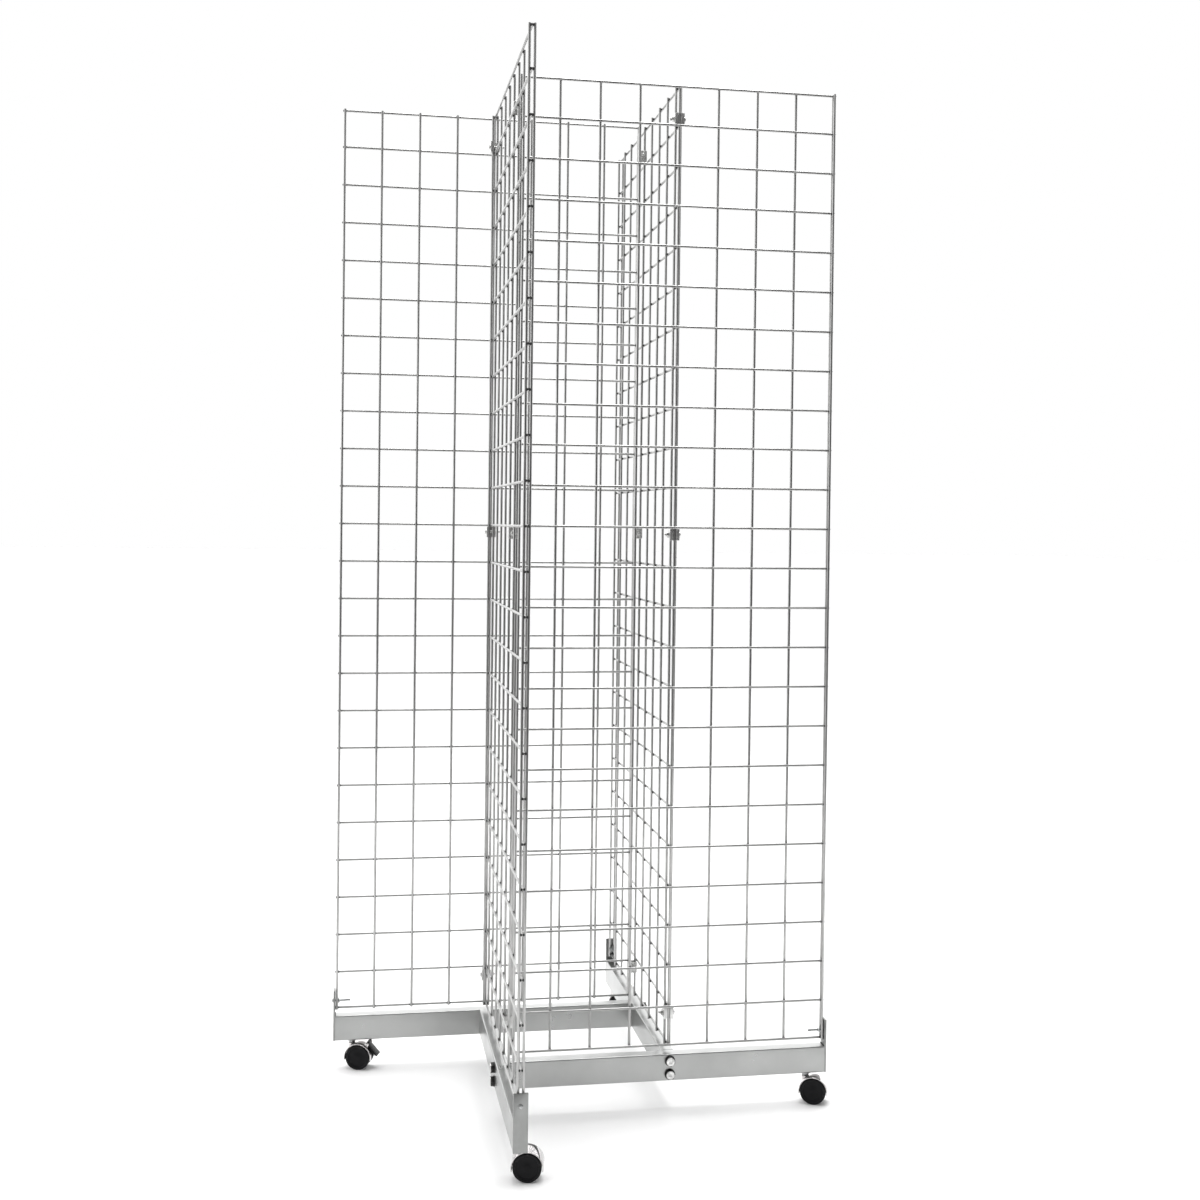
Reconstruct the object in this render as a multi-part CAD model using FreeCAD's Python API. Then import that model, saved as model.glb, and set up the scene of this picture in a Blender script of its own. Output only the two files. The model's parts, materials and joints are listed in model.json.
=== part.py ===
import FreeCAD, Part
import math
import os

# A free-standing display: four wire grid panels in a pinwheel, on four base bars with casters.
# Millimetres. Z is up, the floor is z = 0, and the Z axis is the pinwheel's centre.
# Everything is drawn for the front side, which faces -Y, and then turned about Z for the others.

V = FreeCAD.Vector
X_DIR = V(1, 0, 0)
Y_DIR = V(0, 1, 0)
Z_DIR = V(0, 0, 1)
HEXAGON_STEP = 60

# the four sides, and the turn about Z that carries the front side to each
SIDES = {"front": 0, "left": -90, "back": 180, "right": 90}

# grid panel
column_pitch = 76.2          # between upright wires
end_column_gap = 74.5        # between an edge wire and its neighbour
inner_columns = 6            # spaces of full pitch between the two end columns
row_pitch = 76.2             # between cross wires
end_row_gap = 73.0           # the first and the last row are a little lower
inner_rows = 22
upright_wire = 5.0           # diameter
cross_wire = 4.6             # diameter
wire_stub = 3.2              # uprights stand past the first and last cross wire by this much

# base bar, a rectangular tube under each panel
bar_width = 25.4
bar_height = 50.8
bar_wall = 1.6
bar_corner = 2.5             # outside corner radius
bar_to_grid = 14.0           # from the bar's top to the centre of the lowest cross wire
mesh_gap = 0.45              # between the panel's edge wires and the end plate

# end plate, welded to the outer end of each bar and standing above it
plate_thickness = 4.0
plate_rise = 50.8            # above the bar's top
plate_corner = 1.5

# clamp screw, through the end plate and between the two edge wires
clamp_rise = 28.6            # above the bar's top
clamp_play = 0.3             # on each side, between the edge wires
clamp_hole_play = 0.4        # on the diameter, in the plate and the washer
clamp_tip = 27.0             # from the edge wires' centre to the screw's tip
clamp_head_diameter = 8.0
clamp_head_height = 2.8
clamp_washer_diameter = 13.0
clamp_washer_thickness = 1.2
clamp_nut_width = 7.0        # across flats
clamp_nut_height = 3.2

# hex bolts that hold each bar to the side of the next
bolt_diameter = 10.0
bolt_spacing = 25.4
bolt_hole_play = 0.5         # on the diameter, in the bar it passes through
bolt_thread_play = 0.1       # on the diameter, in the end plug
bolt_head_width = 17.0       # across flats
bolt_head_height = 6.4
bolt_washer_diameter = 20.0
bolt_washer_thickness = 2.0
bolt_end_gap = 3.0           # from the bolt's tip to the end plug's far face
plug_length = 24.0
plug_play = 0.1              # all round, inside the tube

# clip that joins a panel's inner edge to the next panel's middle wire
clip_wire_spacing = 12.4     # between the two wires that it holds
clip_overhang = 0.3          # past the two wires, on each side
clip_height = 22.0
clip_thickness = 2.0
lip_past_wire = 0.2          # the jaw's lip ends this far past the middle of the single wire
clip_to_row = 0.3            # from a cross wire to the clip beside it
clip_screw_play = 0.7        # on each side, between the two wires
clip_hole_play = 0.4         # on the diameter
clip_head_diameter = 11.0
clip_head_height = 3.6
clip_nut_width = 10.0        # across flats
clip_nut_height = 5.0
clip_screw_tip = 9.0         # from the jaw's face to the screw's tip
clip_rows = ((1, 1), (11, -1), (23, -1))   # cross wire counted from the top, and above or below it

head_rounding = 0.6          # of a pan head's edge, as a share of its height

# caster
wheel_diameter = 50.0
wheel_width = 11.5
wheel_edge = 2.0             # radius of the tread's corners
wheel_rim = 4.0
wheel_face = 2.5
hub_diameter = 13.0
axle_diameter = 6.0
axle_end_gap = 0.3           # from the axle's end to the wheel's cap
running_play = 0.06          # radial, wheel on axle and stem in socket
caster_trail = 17.0          # from the stem's axis to the axle
web_thickness = 14.0         # the body between the two wheels
web_to_wheel = 0.5
hood_gap = 1.4               # between the tread and the hood
hood_wall = 1.6
hood_drop = 6.0              # the hood's lips reach this far below the axle
hood_margin = 0.4            # the hood stands past the wheels' faces by this much on each side
hood_to_bar = 5.0            # from the hood's top to the bar's underside
web_margin = 7.0             # from the tread to the edge of the web's lower half
cap_margin = 5.0             # from the tread to the cap's edge
cap_recess = 0.8
cap_thickness = 1.6
socket_diameter = 15.0
socket_drop = 2.0            # the socket's top is below the hood's top by this much
socket_depth = 22.0
stem_diameter = 8.0
stem_end_gap = 1.0           # from the stem's end to the socket's floor
stem_hex_width = 12.0        # across flats
stem_thread_diameter = 10.0
stem_thread_length = 14.0    # above the bar's underside
stem_inset = 38.0            # from the end plate's outer face to the stem's axis
flange_diameter = 22.0
flange_thickness = 1.6
weld_nut_width = 17.0
weld_nut_height = 8.0
stem_play = 0.1              # thread in bar, flange and weld nut, on the diameter
swivel_gap = 0.4             # between the stem's hexagon and the socket's top
# how far each caster has swung from trailing straight to the right
rest_swing = {"front": -24, "left": -10, "back": -18, "right": -14}

# brake lever
BRAKED = ("back", "right")
pin_angle = 55.0             # up from the trailing side, about the axle
pin_standoff = 3.0           # from the hood to the pin's axis
pin_diameter = 3.0
pin_length = 32.0
pin_play = 0.1               # on the diameter, in the lever
lever_width = 23.0
lever_barrel = 7.0           # diameter
lever_arm = 3.0              # thickness of the pedal and of the shoe
pedal_reach = 7.0            # the pedal's tip is further from the axle than the pin by this much
pedal_angle = 6.0            # of the pedal's tip, up from the trailing side
shoe_angle = 12.0            # of the shoe's tip, which is as far from the axle as the pin
window_play = 0.6            # between the lever and the hood on each side
ear_width = 3.4
ear_height = 4.2             # past the pin's axis

# a shape that cuts a hole or a slot runs past the face by this much
CUT_PAST = 1.0

# sizes and places that follow
clamp_diameter = cross_wire - 2 * clamp_play
clip_width = clip_wire_spacing + upright_wire + 2 * clip_overhang
clip_screw_diameter = clip_wire_spacing - upright_wire - 2 * clip_screw_play
wheel_radius = wheel_diameter / 2
hood_inner = wheel_radius + hood_gap
hood_outer = hood_inner + hood_wall
hood_top = wheel_radius + hood_outer
socket_top = hood_top - socket_drop
pin_radius = hood_outer + pin_standoff            # from the axle
bar_bottom = hood_top + hood_to_bar
bar_top = bar_bottom + bar_height
row_heights = [bar_top + bar_to_grid]
for row_gap in [end_row_gap] + [row_pitch] * inner_rows + [end_row_gap]:
    row_heights.append(row_heights[-1] + row_gap)
column_places = [0.0]
for column_gap in [end_column_gap] + [column_pitch] * inner_columns + [end_column_gap]:
    column_places.append(column_places[-1] + column_gap)
edge_spacing = upright_wire + cross_wire          # between the two wires of a double edge
middle_column = column_places[len(column_places) // 2]

# The middle wire of a panel is level with the double edge of the panel clipped to it, so the
# upright wires' plane stands this far from the centre.
plane = (middle_column + clip_wire_spacing - edge_spacing / 2) / 2
inner_edge = clip_wire_spacing - plane            # x of the front panel's inner edge wires
outer_edge = inner_edge + column_places[-1]
upright_y = -plane
cross_y = upright_y - edge_spacing / 2            # also the middle of the bar and of the clips
second_y = upright_y - edge_spacing
bar_inner_end = cross_y + bar_width / 2           # against the side of the next bar
plate_inner = outer_edge + upright_wire / 2 + mesh_gap
plate_outer = plate_inner + plate_thickness
next_bar = -cross_y                               # x of the bar that butts on this one
stem_x = plate_outer - stem_inset


def cylinder(radius, start, end):
    """A round bar from one point to another."""
    along = end - start
    return Part.makeCylinder(radius, along.Length, start, along)


def ring(outer, inner, start, end):
    """A round tube from one point to another, given its two radii."""
    return cylinder(outer, start, end).cut(cylinder(inner, start, end))


def block(low, high):
    """A box between two corners."""
    return Part.makeBox(high.x - low.x, high.y - low.y, high.z - low.z, low)


def hexagon(across_flats, start, end, bore=0.0):
    """A hexagonal prism from one point to another, with an optional bore."""
    along = end - start
    across = along.cross(Z_DIR)
    if across.Length < 1e-6:
        across = V(X_DIR)
    across.normalize()
    axis = V(along)
    axis.normalize()
    other = axis.cross(across)
    reach = across_flats / math.sqrt(3)
    corners = []
    for i in range(7):
        turn = math.radians(HEXAGON_STEP * i + HEXAGON_STEP / 2)
        corners.append(start + across * (reach * math.cos(turn)) + other * (reach * math.sin(turn)))
    prism = Part.Face(Part.makePolygon(corners)).extrude(along)
    if bore:
        prism = prism.cut(cylinder(bore / 2, start, end))
    return prism


def domed_head(diameter, height, start, outward):
    """A pan head on a face: a disc with a rounded outer edge."""
    head = cylinder(diameter / 2, start, start + outward * height)
    far = start + outward * height
    rim = [e for e in head.Edges if e.Curve.TypeId == "Part::GeomCircle"
           and (e.Curve.Center - far).Length < 1e-6]
    return head.makeFillet(height * head_rounding, rim)


def turned(shape, angle):
    """A copy of a shape, turned about the Z axis."""
    copy = shape.copy()
    copy.rotate(V(0, 0, 0), Z_DIR, angle)
    return copy


def on_all_sides(shapes):
    """The front side's shapes, repeated on the four sides."""
    return [turned(shape, turn) for turn in SIDES.values() for shape in shapes]


parts = {}


def add(name, shapes):
    """Keeps one node: a single solid, or a group of them."""
    parts[name] = shapes[0] if len(shapes) == 1 else Part.makeCompound(shapes)


# --- grid panels: separate wires, welded where they touch ---

def grid_panel():
    """The front panel's wires."""
    low = row_heights[0] - wire_stub
    high = row_heights[-1] + wire_stub
    wires = []
    for place in column_places:
        x = inner_edge + place
        wires.append(cylinder(upright_wire / 2, V(x, upright_y, low), V(x, upright_y, high)))
    for x in (inner_edge, outer_edge):
        wires.append(cylinder(upright_wire / 2, V(x, second_y, low), V(x, second_y, high)))
    left = inner_edge - upright_wire / 2
    right = outer_edge + upright_wire / 2
    for z in row_heights:
        wires.append(cylinder(cross_wire / 2, V(left, cross_y, z), V(right, cross_y, z)))
    return wires


# --- base: bars, end plates, bolts, plugs and clamps ---

def rounded_tube_outline(width, height, corner, x):
    """A rectangle with round corners in the plane at x, centred on the bar."""
    half = width / 2 - corner
    low = bar_bottom + (bar_height - height) / 2 + corner
    high = low + height - 2 * corner
    arcs = []
    for y, z, start in ((half, high, 0), (-half, high, 90), (-half, low, 180), (half, low, 270)):
        circle = Part.Circle(V(x, cross_y + y, z), X_DIR, corner)
        first = math.radians(start)
        points = []
        for turn in (first, first + math.pi / 4, first + math.pi / 2):
            points.append(circle.Center + V(0, math.cos(turn), math.sin(turn)) * corner)
        arcs.append((points, Part.Arc(*points).toShape()))
    edges = []
    for i, (points, arc) in enumerate(arcs):
        edges.append(arc)
        following = arcs[(i + 1) % len(arcs)][0]
        edges.append(Part.LineSegment(points[2], following[0]).toShape())
    return Part.Face(Part.Wire(edges))


def bolt_heights():
    """The two bolts, evenly above and below the bar's middle."""
    middle = bar_bottom + bar_height / 2
    return (middle - bolt_spacing / 2, middle + bolt_spacing / 2)


def base_bar():
    """The front bar, with holes for the next bar's bolts and for the caster's stem."""
    length = V(plate_inner - bar_inner_end, 0, 0)
    bar = rounded_tube_outline(bar_width, bar_height, bar_corner, bar_inner_end).extrude(length)
    inside = rounded_tube_outline(bar_width - 2 * bar_wall, bar_height - 2 * bar_wall,
                                  bar_corner - bar_wall, bar_inner_end).extrude(length)
    bar = bar.cut(inside)
    reach = bar_width / 2 + CUT_PAST
    for z in bolt_heights():
        bar = bar.cut(cylinder((bolt_diameter + bolt_hole_play) / 2,
                               V(next_bar, cross_y - reach, z), V(next_bar, cross_y + reach, z)))
    return bar.cut(cylinder((stem_thread_diameter + stem_play) / 2,
                            V(stem_x, cross_y, bar_bottom - CUT_PAST),
                            V(stem_x, cross_y, bar_bottom + bar_wall + CUT_PAST)))


def end_plate():
    """The upright plate on the front bar's outer end."""
    half = bar_width / 2
    plate = block(V(plate_inner, cross_y - half, bar_bottom),
                  V(plate_outer, cross_y + half, bar_top + plate_rise))
    along_x = [e for e in plate.Edges if abs(e.BoundBox.XLength - plate_thickness) < 1e-6]
    plate = plate.makeFillet(plate_corner, along_x)
    z = bar_top + clamp_rise
    return plate.cut(cylinder((clamp_diameter + clamp_hole_play) / 2,
                              V(plate_inner - CUT_PAST, cross_y, z),
                              V(plate_outer + CUT_PAST, cross_y, z)))


def clamp():
    """The clamp screw, washer and nut at the front panel's outer edge."""
    z = bar_top + clamp_rise
    at = V(0, cross_y, z)
    bearing = outer_edge - upright_wire / 2
    head_face = at + X_DIR * plate_outer
    screw = cylinder(clamp_diameter / 2, at + X_DIR * (outer_edge - clamp_tip), head_face)
    screw = screw.fuse(domed_head(clamp_head_diameter, clamp_head_height, head_face, X_DIR))
    washer_end = bearing - clamp_washer_thickness
    washer = ring(clamp_washer_diameter / 2, (clamp_diameter + clamp_hole_play) / 2,
                  at + X_DIR * washer_end, at + X_DIR * bearing)
    nut = hexagon(clamp_nut_width, at + X_DIR * (washer_end - clamp_nut_height),
                  at + X_DIR * washer_end, clamp_diameter)
    return screw, washer, nut


def bar_joint():
    """Bolts and washers on the front bar's face, where the right-hand bar butts on it."""
    bolts = []
    washers = []
    face = cross_y - bar_width / 2
    head_start = face - bolt_washer_thickness
    head_end = head_start - bolt_head_height
    tip = cross_y + bar_width / 2 + plug_length - bolt_end_gap
    flat = bolt_head_width / 2
    for z in bolt_heights():
        at = V(next_bar, 0, z)
        bolt = cylinder(bolt_diameter / 2, at + Y_DIR * head_start, at + Y_DIR * tip)
        head = hexagon(bolt_head_width, at + Y_DIR * head_end, at + Y_DIR * head_start)
        # takes the head's outer corners off at 45 degrees
        crown = Part.makeCone(flat, flat + bolt_head_height, bolt_head_height, at + Y_DIR * head_end, Y_DIR)
        bolts.append(bolt.fuse(head.common(crown)))
        washers.append(ring(bolt_washer_diameter / 2, (bolt_diameter + bolt_hole_play) / 2,
                            at + Y_DIR * head_start, at + Y_DIR * face))
    return bolts, washers


def end_plug():
    """The tapped block in the front bar's inner end."""
    half_width = bar_width / 2 - bar_wall - plug_play
    low = bar_bottom + bar_wall + plug_play
    high = bar_top - bar_wall - plug_play
    plug = block(V(bar_inner_end, cross_y - half_width, low),
                 V(bar_inner_end + plug_length, cross_y + half_width, high))
    along_x = [e for e in plug.Edges if abs(e.BoundBox.XLength - plug_length) < 1e-6]
    plug = plug.makeFillet(bar_corner - bar_wall, along_x)
    for z in bolt_heights():
        plug = plug.cut(cylinder((bolt_diameter + bolt_thread_play) / 2,
                                 V(bar_inner_end - CUT_PAST, cross_y, z),
                                 V(bar_inner_end + plug_length + CUT_PAST, cross_y, z)))
    return plug


# --- clips ---

def clip_middle(row_from_top, side_of_row):
    """Height of a clip's middle, above (1) or below (-1) a cross wire."""
    row = row_heights[len(row_heights) - 1 - row_from_top]
    return row + side_of_row * (cross_wire / 2 + clip_to_row + clip_height / 2)


def clip(z):
    """Two jaws, a screw and a nut that hold the front panel's inner edge to the left panel's middle."""
    single = V(-plane, cross_y, z)
    screw_x = single.x + clip_wire_spacing / 2
    hole_reach = (edge_spacing + upright_wire) / 2 + clip_thickness + CUT_PAST
    hole = cylinder((clip_screw_diameter + clip_hole_play) / 2,
                    V(screw_x, cross_y - hole_reach, z), V(screw_x, cross_y + hole_reach, z))
    jaws = []
    for outward, edge_y in ((-1, second_y), (1, upright_y)):
        inner_face = edge_y + outward * upright_wire / 2
        outer_face = inner_face + outward * clip_thickness
        lip_tip = single.y + outward * upright_wire / 2
        low = z - clip_height / 2
        high = z + clip_height / 2
        sheet = block(V(screw_x - clip_width / 2, min(inner_face, outer_face), low),
                      V(screw_x + clip_width / 2, max(inner_face, outer_face), high))
        lip = block(V(screw_x - clip_width / 2, min(lip_tip, inner_face), low),
                    V(single.x + lip_past_wire, max(lip_tip, inner_face), high))
        jaws.append(sheet.fuse(lip).removeSplitter().cut(hole))
    head_face = V(screw_x, second_y - upright_wire / 2 - clip_thickness, z)
    nut_face = V(screw_x, upright_y + upright_wire / 2 + clip_thickness, z)
    screw = cylinder(clip_screw_diameter / 2, head_face, nut_face + Y_DIR * clip_screw_tip)
    screw = screw.fuse(domed_head(clip_head_diameter, clip_head_height, head_face, -Y_DIR))
    nut = hexagon(clip_nut_width, nut_face, nut_face + Y_DIR * clip_nut_height, clip_screw_diameter)
    return jaws[0], jaws[1], screw, nut


# --- casters, drawn with the stem on the Z axis and trailing towards +X ---

AXLE = V(caster_trail, 0, wheel_radius)
wheel_inner_face = web_thickness / 2 + web_to_wheel
wheel_outer_face = wheel_inner_face + wheel_width
hood_half = wheel_outer_face + hood_margin


def from_axle(angle, radius, y=0.0):
    """A point given by its angle up from the trailing side and its distance from the axle."""
    turn = math.radians(angle)
    return AXLE + V(radius * math.cos(turn), y, radius * math.sin(turn))


def swivel_stem():
    """Plain pin in the socket, hexagon under the bar and thread into the weld nut."""
    pin_low = socket_top - socket_depth + stem_end_gap
    hex_low = socket_top + swivel_gap
    hex_high = bar_bottom - flange_thickness
    pin = cylinder(stem_diameter / 2, V(0, 0, pin_low), V(0, 0, hex_low))
    nut = hexagon(stem_hex_width, V(0, 0, hex_low), V(0, 0, hex_high))
    thread = cylinder(stem_thread_diameter / 2, V(0, 0, hex_high), V(0, 0, bar_bottom + stem_thread_length))
    return pin.fuse([nut, thread]).removeSplitter()


def stem_flange():
    """The washer between the stem's hexagon and the bar."""
    return ring(flange_diameter / 2, (stem_thread_diameter + stem_play) / 2,
                V(0, 0, bar_bottom - flange_thickness), V(0, 0, bar_bottom))


def weld_nut():
    """The nut welded inside the bar, with flats towards the bar's side walls."""
    low = bar_bottom + bar_wall
    nut = hexagon(weld_nut_width, V(0, 0, low), V(0, 0, low + weld_nut_height),
                  stem_thread_diameter + stem_play)
    return turned(nut, HEXAGON_STEP / 2)


def caster_body(braked):
    """Hood, web and stem socket in one casting."""
    across = Y_DIR * hood_half
    hood = ring(hood_outer, hood_inner, AXLE - across, AXLE + across)
    past = hood_outer + CUT_PAST
    below = block(AXLE + V(-past, -hood_half - CUT_PAST, -past),
                  AXLE + V(past, hood_half + CUT_PAST, -hood_drop))
    hood = hood.cut(below)
    side = Y_DIR * (web_thickness / 2)
    web = cylinder(hood_inner + hood_wall / 2, AXLE - side, AXLE + side)
    web = web.cut(block(AXLE + V(-hood_outer, -hood_half, -hood_outer),
                        AXLE + V(hood_outer, hood_half, 0)))
    if braked:
        web = web.cut(brake_window())
    web = web.fuse(cylinder(wheel_radius - web_margin, AXLE - side, AXLE + side))
    # the socket is no wider than the web as far up as the hood's inside
    socket = cylinder(socket_diameter / 2, V(0, 0, wheel_radius), V(0, 0, socket_top))
    keep = cylinder(hood_inner, AXLE - side, AXLE + side)
    hood_over_stem = AXLE.z + math.sqrt(hood_inner ** 2 - caster_trail ** 2)
    above = block(V(-socket_diameter, -socket_diameter, hood_over_stem),
                  V(socket_diameter, socket_diameter, socket_top))
    socket = socket.common(keep.fuse(above))
    if braked:
        hood = hood.cut(brake_window()).fuse(brake_ears())
    body = hood.fuse([web, socket])
    body = body.cut(cylinder(stem_diameter / 2 + running_play, V(0, 0, socket_top - socket_depth),
                             V(0, 0, socket_top + CUT_PAST)))
    body = body.cut(cylinder(axle_diameter / 2, AXLE - across, AXLE + across))
    if braked:
        body = body.cut(cylinder(pin_diameter / 2, from_axle(pin_angle, pin_radius, -pin_length / 2),
                                 from_axle(pin_angle, pin_radius, pin_length / 2)))
    return body.removeSplitter()


def brake_window():
    """The opening at the hood's trailing side that the lever sits in."""
    half = lever_width / 2 + window_play
    start = from_axle(pin_angle, pin_radius).x - lever_barrel / 2 - window_play
    return block(V(start, -half, AXLE.z - hood_outer),
                 V(AXLE.x + hood_outer + CUT_PAST, half, AXLE.z + hood_outer))


def brake_ears():
    """Two lugs on the hood, one each side of the window, that hold the lever's pin."""
    centre = from_axle(pin_angle, pin_radius)
    ears = []
    for side in (-1, 1):
        near = side * (lever_width / 2 + window_play)
        far = near + side * ear_width
        foot = hood_inner + hood_wall / 2
        ear = cylinder(ear_height, centre + Y_DIR * near, centre + Y_DIR * far)
        base = block(V(foot, min(near, far), -ear_height), V(pin_radius, max(near, far), ear_height))
        base.rotate(V(0, 0, 0), Y_DIR, -pin_angle)
        base.translate(AXLE)
        inside = cylinder(foot, AXLE - Y_DIR * hood_half, AXLE + Y_DIR * hood_half)
        ears.append(ear.fuse(base).cut(inside))
    return ears


def bent_arm(start, end, thickness, y_half):
    """A flat arm between two points seen from the side, rounded at its far end."""
    along = end - start
    length = along.Length
    arm = block(V(0, -y_half, -thickness / 2), V(length, y_half, thickness / 2))
    arm = arm.fuse(cylinder(thickness / 2, V(length, -y_half, 0), V(length, y_half, 0)))
    arm.rotate(V(0, 0, 0), Y_DIR, -math.degrees(math.atan2(along.z, along.x)))
    arm.translate(start)
    return arm


def brake_lever():
    """Pedal outside the hood and shoe above the treads, on one barrel."""
    centre = from_axle(pin_angle, pin_radius)
    half = lever_width / 2
    barrel = cylinder(lever_barrel / 2, centre - Y_DIR * half, centre + Y_DIR * half)
    pedal = bent_arm(centre, from_axle(pedal_angle, pin_radius + pedal_reach), lever_arm, half)
    shoe = bent_arm(centre, from_axle(shoe_angle, pin_radius), lever_arm, half)
    lever = barrel.fuse([pedal, shoe])
    return lever.cut(cylinder((pin_diameter + pin_play) / 2, centre - Y_DIR * pin_length,
                              centre + Y_DIR * pin_length)).removeSplitter()


def brake_pin():
    """The pin held in the two ears."""
    return cylinder(pin_diameter / 2, from_axle(pin_angle, pin_radius, -pin_length / 2),
                    from_axle(pin_angle, pin_radius, pin_length / 2))


def axle():
    """The steel pin through the body, ending inside the wheels' face caps."""
    reach = Y_DIR * (wheel_outer_face - cap_recess - cap_thickness - axle_end_gap)
    return cylinder(axle_diameter / 2, AXLE - reach, AXLE + reach)


def wheel(side):
    """A cup-shaped wheel, open towards the web; side is -1 or 1 along Y."""
    inner = side * wheel_inner_face
    outer = side * wheel_outer_face
    blank = cylinder(wheel_radius, AXLE + Y_DIR * inner, AXLE + Y_DIR * outer)
    rims = [e for e in blank.Edges if e.Curve.TypeId == "Part::GeomCircle"]
    blank = blank.makeFillet(wheel_edge, rims)
    past_inner = AXLE + Y_DIR * (inner - side * CUT_PAST)
    past_outer = AXLE + Y_DIR * (outer + side * CUT_PAST)
    seat_floor = outer - side * (cap_recess + cap_thickness)
    cup_floor = seat_floor - side * wheel_face
    hollow = ring(wheel_radius - wheel_rim, hub_diameter / 2, past_inner, AXLE + Y_DIR * cup_floor)
    seat = cylinder(wheel_radius - cap_margin, AXLE + Y_DIR * seat_floor, past_outer)
    bore = cylinder(axle_diameter / 2 + running_play, past_inner, past_outer)
    return blank.cut(hollow).cut(seat).cut(bore)


def wheel_cap(side):
    """The round cap pressed into the wheel's outer face."""
    outer = side * (wheel_outer_face - cap_recess)
    inner = outer - side * cap_thickness
    return cylinder(wheel_radius - cap_margin, AXLE + Y_DIR * inner, AXLE + Y_DIR * outer)


def under_front_bar(shape):
    """A caster piece carried from the Z axis to the front bar's stem."""
    placed = shape.copy()
    placed.translate(V(stem_x, cross_y, 0))
    return placed


def under_bar(shape, side):
    """A caster piece at one bar's stem, swung to its resting angle from +X."""
    swung = turned(shape, rest_swing[side] - SIDES[side])
    return turned(under_front_bar(swung), SIDES[side])


# --- all nodes ---

panel_wires = grid_panel()
bar = base_bar()
plate = end_plate()
for side_name, side_turn in SIDES.items():
    add("grid_panel_" + side_name, [turned(wire, side_turn) for wire in panel_wires])
    add("base_bar_" + side_name, [turned(bar, side_turn)])
    add("end_plate_" + side_name, [turned(plate, side_turn)])

clamp_screw, clamp_washer, clamp_nut = clamp()
add("clamp_screws", on_all_sides([clamp_screw]))
add("clamp_washers", on_all_sides([clamp_washer]))
add("clamp_nuts", on_all_sides([clamp_nut]))
joint_bolts, joint_washers = bar_joint()
add("bar_bolts", on_all_sides(joint_bolts))
add("bar_bolt_washers", on_all_sides(joint_washers))
add("bar_end_plugs", on_all_sides([end_plug()]))

clips = [clip(clip_middle(*row)) for row in clip_rows]
clip_pieces = ("clip_outer_jaws", "clip_inner_jaws", "clip_screws", "clip_nuts")
for name, shapes in zip(clip_pieces, zip(*clips)):
    add(name, on_all_sides(shapes))

add("stem_flanges", on_all_sides([under_front_bar(stem_flange())]))
add("stem_weld_nuts", on_all_sides([under_front_bar(weld_nut())]))
for side_name in SIDES:
    braked = side_name in BRAKED
    pieces = {
        "caster_stem": swivel_stem(),
        "caster_body": caster_body(braked),
        "caster_axle": axle(),
        "caster_wheel_near": wheel(-1),
        "caster_wheel_far": wheel(1),
        "wheel_cap_near": wheel_cap(-1),
        "wheel_cap_far": wheel_cap(1),
    }
    if braked:
        pieces["brake_lever"] = brake_lever()
        pieces["brake_pin"] = brake_pin()
    for name, shape in pieces.items():
        add(name + "_" + side_name, [under_bar(shape, side_name)])

os.makedirs("parts", exist_ok=True)
for name, shape in parts.items():
    shape.exportStep("parts/" + name + ".step")
print(len(parts), "nodes")
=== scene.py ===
import json
import math

import bmesh
import bpy
from mathutils import Matrix, Vector


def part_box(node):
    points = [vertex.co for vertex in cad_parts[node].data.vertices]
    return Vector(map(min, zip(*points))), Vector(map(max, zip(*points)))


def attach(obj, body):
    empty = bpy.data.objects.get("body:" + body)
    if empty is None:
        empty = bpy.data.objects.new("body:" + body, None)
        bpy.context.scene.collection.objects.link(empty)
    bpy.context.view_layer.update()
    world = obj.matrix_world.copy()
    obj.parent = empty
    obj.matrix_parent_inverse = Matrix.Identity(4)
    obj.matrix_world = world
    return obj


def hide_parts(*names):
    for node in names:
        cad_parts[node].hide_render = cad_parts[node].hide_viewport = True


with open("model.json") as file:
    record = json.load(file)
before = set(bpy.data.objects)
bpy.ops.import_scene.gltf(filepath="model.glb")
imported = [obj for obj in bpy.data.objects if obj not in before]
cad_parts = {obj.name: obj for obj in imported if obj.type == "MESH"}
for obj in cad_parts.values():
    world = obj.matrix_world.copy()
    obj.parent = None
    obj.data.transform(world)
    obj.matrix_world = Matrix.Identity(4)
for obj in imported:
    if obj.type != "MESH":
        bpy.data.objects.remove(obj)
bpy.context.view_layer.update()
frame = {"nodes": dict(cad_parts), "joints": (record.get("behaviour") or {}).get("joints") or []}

bl_info = {
    "name": "Wire Grid Pinwheel Display",
    "version": (1, 0, 0),
    "blender": (4, 5, 0),
    "location": "View3D > Sidebar > Display",
    "description": "Builds the looks of a wire grid display on casters around its CAD frame",
    "category": "Object",
}

# the CAD model's box, and where the CAD puts things; metres, Z up, floor at z = 0
SIDES = {"front": 0, "left": -90, "back": 180, "right": 90}
JOINTS = {joint["name"]: joint for joint in frame["joints"]}
PANEL_LOW, PANEL_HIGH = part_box("grid_panel_front")
BAR_LOW, BAR_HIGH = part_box("base_bar_front")
PLATE_LOW, PLATE_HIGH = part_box("end_plate_front")
ORIGIN = Vector((0, 0, 0))
X_DIR = Vector((1, 0, 0))
Z_DIR = Vector((0, 0, 1))
MM = 0.001
QUARTER = math.radians(90)
# how far from the front side's own place a solid of a grouped node may lie, in metres
NEAR_EDGE, NEAR_BAR, NEAR_PANEL, NEAR_CLIP, NEAR_STEM = 0.045, 0.02, 0.016, 0.03, 0.0076
OUTER_HALF = -0.1    # the front side's bolts are in front of this y
# vertices and angles closer than these are the same
SAME_PLACE, SAME_ANGLE, MELT = 1e-6, 1e-6, 1e-7
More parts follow.
